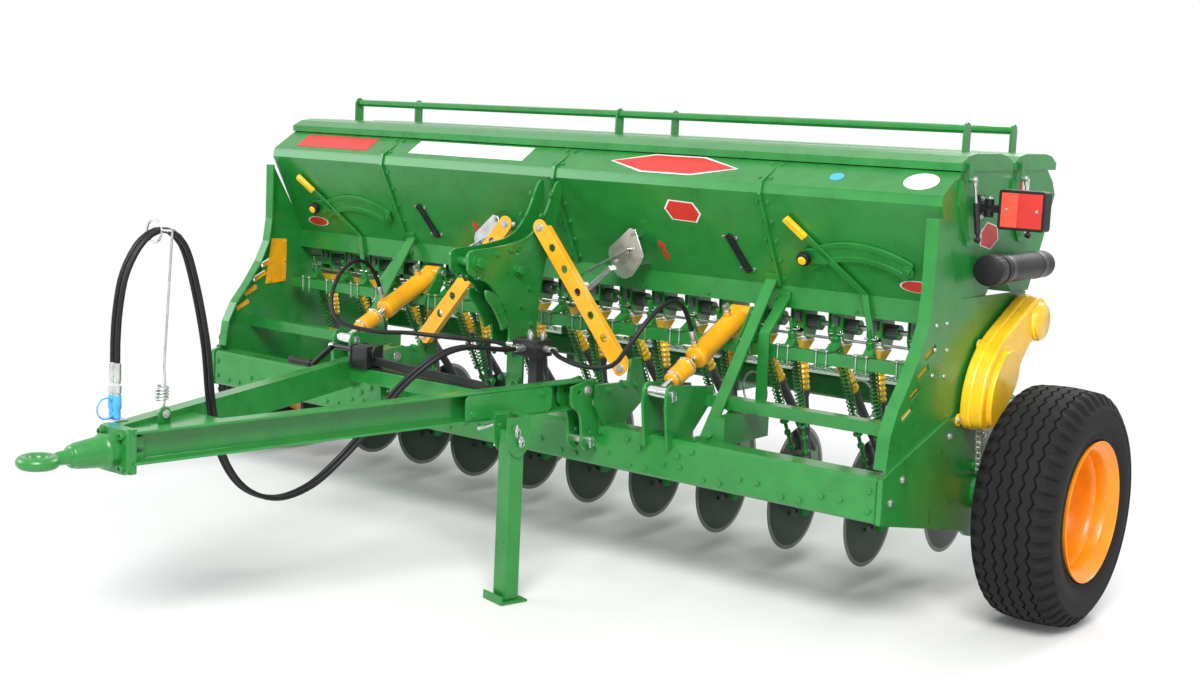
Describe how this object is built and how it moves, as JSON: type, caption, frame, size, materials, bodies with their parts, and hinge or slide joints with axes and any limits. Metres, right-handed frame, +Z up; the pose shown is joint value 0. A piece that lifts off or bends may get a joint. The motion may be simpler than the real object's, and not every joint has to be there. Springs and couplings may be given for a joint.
{
  "type": "seed drill",
  "caption": "Trailed disc seed drill: twin-lid hopper over rows of sprung disc openers, A-frame drawbar with tow eye, parking leg, lift cylinders and two transport wheels.",
  "frame": {"origin": "centre of the overall box, on the ground that the wheels and the parking leg stand on", "axes": "+Z up; -Y towards the tow eye, the way it is pulled; +X to the machine's left"},
  "size_m": [3.834, 3.301, 1.579],
  "materials": {
    "amber_paint": "gloss enamel",
    "black_paint": "satin black",
    "black_plastic": "satin moulded plastic",
    "bright_steel": "bright zinc plate",
    "disc_paint": "satin dark green paint on the discs",
    "green_paint": "gloss enamel",
    "hose_rubber": "smooth hose cover",
    "rim_paint": "gloss enamel",
    "tyre_rubber": "matt tyre rubber",
    "yellow_paint": "gloss enamel"
  },
  "bodies": {
    "frame": {"brace_left": "amber_paint", "brace_right": "amber_paint", "chain_guard": "yellow_paint", "coulter_arms": "green_paint", "crank_jack": "black_paint", "cylinder_left": "yellow_paint", "cylinder_right": "yellow_paint", "document_tube": "black_plastic", "drawbar": "green_paint", "front_beam": "green_paint", "headstock": "green_paint", "hitch_eye": "green_paint", "hopper": "green_paint", "hose_1": "hose_rubber", "hose_2": "hose_rubber", "hose_couplers": "bright_steel", "hose_holder": "bright_steel", "hose_left": "hose_rubber", "hose_right": "hose_rubber", "metering_line": "green_paint", "rear_frame": "green_paint", "rockshaft": "green_paint", "shutter_lever_left": "yellow_paint", "shutter_lever_right": "yellow_paint", "side_plate_left": "green_paint", "side_plate_right": "green_paint", "tail_lamp_left": "black_plastic", "tail_lamp_right": "black_plastic", "valve_block": "black_paint"},
    "wheel_left": {"tyre_left": "tyre_rubber", "rim_left": "rim_paint"},
    "wheel_right": {"tyre_right": "tyre_rubber", "rim_right": "rim_paint"},
    "lid_front": {"lid_front": "green_paint"},
    "lid_rear": {"lid_rear": "green_paint"},
    "parking_leg": {"parking_leg": "green_paint"},
    "spring_tube_1": {"spring_tube_1": "black_paint"},
    "spring_rod_1": {"spring_rod_1": "bright_steel"},
    "spring_tube_2": {"spring_tube_2": "black_paint"},
    "spring_rod_2": {"spring_rod_2": "bright_steel"},
    "disc_front_01": {"disc_front_01": "disc_paint"},
    "disc_front_02": {"disc_front_02": "disc_paint"},
    "disc_front_03": {"disc_front_03": "disc_paint"},
    "disc_front_04": {"disc_front_04": "disc_paint"},
    "disc_front_05": {"disc_front_05": "disc_paint"},
    "disc_front_06": {"disc_front_06": "disc_paint"},
    "disc_front_07": {"disc_front_07": "disc_paint"},
    "disc_front_08": {"disc_front_08": "disc_paint"},
    "disc_front_09": {"disc_front_09": "disc_paint"},
    "disc_front_10": {"disc_front_10": "disc_paint"},
    "disc_rear_01": {"disc_rear_01": "disc_paint"},
    "disc_rear_02": {"disc_rear_02": "disc_paint"},
    "disc_rear_03": {"disc_rear_03": "disc_paint"},
    "disc_rear_04": {"disc_rear_04": "disc_paint"},
    "disc_rear_05": {"disc_rear_05": "disc_paint"},
    "disc_rear_06": {"disc_rear_06": "disc_paint"},
    "disc_rear_07": {"disc_rear_07": "disc_paint"},
    "disc_rear_08": {"disc_rear_08": "disc_paint"},
    "disc_rear_09": {"disc_rear_09": "disc_paint"},
    "disc_rear_10": {"disc_rear_10": "disc_paint"}
  },
  "joints": [
    {"name": "wheel_left_spin", "type": "hinge", "parent": "frame", "child": "wheel_left", "pos_m": [1.785, 0.9465, 0.38], "axis": [1, 0, 0], "continuous": true},
    {"name": "wheel_right_spin", "type": "hinge", "parent": "frame", "child": "wheel_right", "pos_m": [-1.785, 0.9465, 0.38], "axis": [1, 0, 0], "continuous": true},
    {"name": "disc_front_01_spin", "type": "hinge", "parent": "frame", "child": "disc_front_01", "pos_m": [-1.404, 0.8235, 0.253], "axis": [1, 0, 0], "continuous": true},
    {"name": "disc_front_02_spin", "type": "hinge", "parent": "frame", "child": "disc_front_02", "pos_m": [-1.114, 0.8235, 0.253], "axis": [1, 0, 0], "continuous": true},
    {"name": "disc_front_03_spin", "type": "hinge", "parent": "frame", "child": "disc_front_03", "pos_m": [-0.824, 0.8235, 0.253], "axis": [1, 0, 0], "continuous": true},
    {"name": "disc_front_04_spin", "type": "hinge", "parent": "frame", "child": "disc_front_04", "pos_m": [-0.534, 0.8235, 0.253], "axis": [1, 0, 0], "continuous": true},
    {"name": "disc_front_05_spin", "type": "hinge", "parent": "frame", "child": "disc_front_05", "pos_m": [-0.244, 0.8235, 0.253], "axis": [1, 0, 0], "continuous": true},
    {"name": "disc_front_06_spin", "type": "hinge", "parent": "frame", "child": "disc_front_06", "pos_m": [0.046, 0.8235, 0.253], "axis": [1, 0, 0], "continuous": true},
    {"name": "disc_front_07_spin", "type": "hinge", "parent": "frame", "child": "disc_front_07", "pos_m": [0.336, 0.8235, 0.253], "axis": [1, 0, 0], "continuous": true},
    {"name": "disc_front_08_spin", "type": "hinge", "parent": "frame", "child": "disc_front_08", "pos_m": [0.626, 0.8235, 0.253], "axis": [1, 0, 0], "continuous": true},
    {"name": "disc_front_09_spin", "type": "hinge", "parent": "frame", "child": "disc_front_09", "pos_m": [0.916, 0.8235, 0.253], "axis": [1, 0, 0], "continuous": true},
    {"name": "disc_front_10_spin", "type": "hinge", "parent": "frame", "child": "disc_front_10", "pos_m": [1.206, 0.8235, 0.253], "axis": [1, 0, 0], "continuous": true},
    {"name": "disc_rear_01_spin", "type": "hinge", "parent": "frame", "child": "disc_rear_01", "pos_m": [-1.259, 1.1105, 0.279], "axis": [1, 0, 0], "continuous": true},
    {"name": "disc_rear_02_spin", "type": "hinge", "parent": "frame", "child": "disc_rear_02", "pos_m": [-0.969, 1.1105, 0.279], "axis": [1, 0, 0], "continuous": true},
    {"name": "disc_rear_03_spin", "type": "hinge", "parent": "frame", "child": "disc_rear_03", "pos_m": [-0.679, 1.1105, 0.279], "axis": [1, 0, 0], "continuous": true},
    {"name": "disc_rear_04_spin", "type": "hinge", "parent": "frame", "child": "disc_rear_04", "pos_m": [-0.389, 1.1105, 0.279], "axis": [1, 0, 0], "continuous": true},
    {"name": "disc_rear_05_spin", "type": "hinge", "parent": "frame", "child": "disc_rear_05", "pos_m": [-0.099, 1.1105, 0.279], "axis": [1, 0, 0], "continuous": true},
    {"name": "disc_rear_06_spin", "type": "hinge", "parent": "frame", "child": "disc_rear_06", "pos_m": [0.191, 1.1105, 0.279], "axis": [1, 0, 0], "continuous": true},
    {"name": "disc_rear_07_spin", "type": "hinge", "parent": "frame", "child": "disc_rear_07", "pos_m": [0.481, 1.1105, 0.279], "axis": [1, 0, 0], "continuous": true},
    {"name": "disc_rear_08_spin", "type": "hinge", "parent": "frame", "child": "disc_rear_08", "pos_m": [0.771, 1.1105, 0.279], "axis": [1, 0, 0], "continuous": true},
    {"name": "disc_rear_09_spin", "type": "hinge", "parent": "frame", "child": "disc_rear_09", "pos_m": [1.061, 1.1105, 0.279], "axis": [1, 0, 0], "continuous": true},
    {"name": "disc_rear_10_spin", "type": "hinge", "parent": "frame", "child": "disc_rear_10", "pos_m": [1.351, 1.1105, 0.279], "axis": [1, 0, 0], "continuous": true},
    {"name": "lid_front_hinge", "type": "hinge", "parent": "frame", "child": "lid_front", "pos_m": [0, 0.6735, 1.45284], "axis": [1, 0, 0], "range_deg": [0, 75]},
    {"name": "spring_1_turn", "type": "hinge", "parent": "frame", "child": "spring_tube_1", "pos_m": [1.54, 0.7785, 1.213], "axis": [-1, 0, 0], "range_deg": [0, 7.36]},
    {"name": "spring_1_slide", "type": "slide", "parent": "spring_tube_1", "child": "spring_rod_1", "axis": [0, -0.2794, 0.9602], "range_m": [0, 0.08157]},
    {"name": "lid_rear_hinge", "type": "hinge", "parent": "frame", "child": "lid_rear", "pos_m": [0, 1.0755, 1.45284], "axis": [1, 0, 0], "range_deg": [0, 75]},
    {"name": "spring_2_turn", "type": "hinge", "parent": "frame", "child": "spring_tube_2", "pos_m": [1.54, 1.1765, 1.213], "axis": [-1, 0, 0], "range_deg": [0, 7.85]},
    {"name": "spring_2_slide", "type": "slide", "parent": "spring_tube_2", "child": "spring_rod_2", "axis": [0, -0.2794, 0.9602], "range_m": [0, 0.07731]},
    {"name": "parking_leg_hinge", "type": "hinge", "parent": "frame", "child": "parking_leg", "pos_m": [0.448, -0.1595, 0.53], "axis": [-0.9681, 0.2506, 0], "range_deg": [0, 80]}
  ],
  "couplings": [
    {"joint": "spring_1_turn", "follows": "lid_front_hinge", "ratio": 0.09797},
    {"joint": "spring_1_slide", "follows": "lid_front_hinge", "m_per_rad": 0.06224},
    {"joint": "spring_2_turn", "follows": "lid_rear_hinge", "ratio": 0.10447},
    {"joint": "spring_2_slide", "follows": "lid_rear_hinge", "m_per_rad": 0.05898}
  ]
}
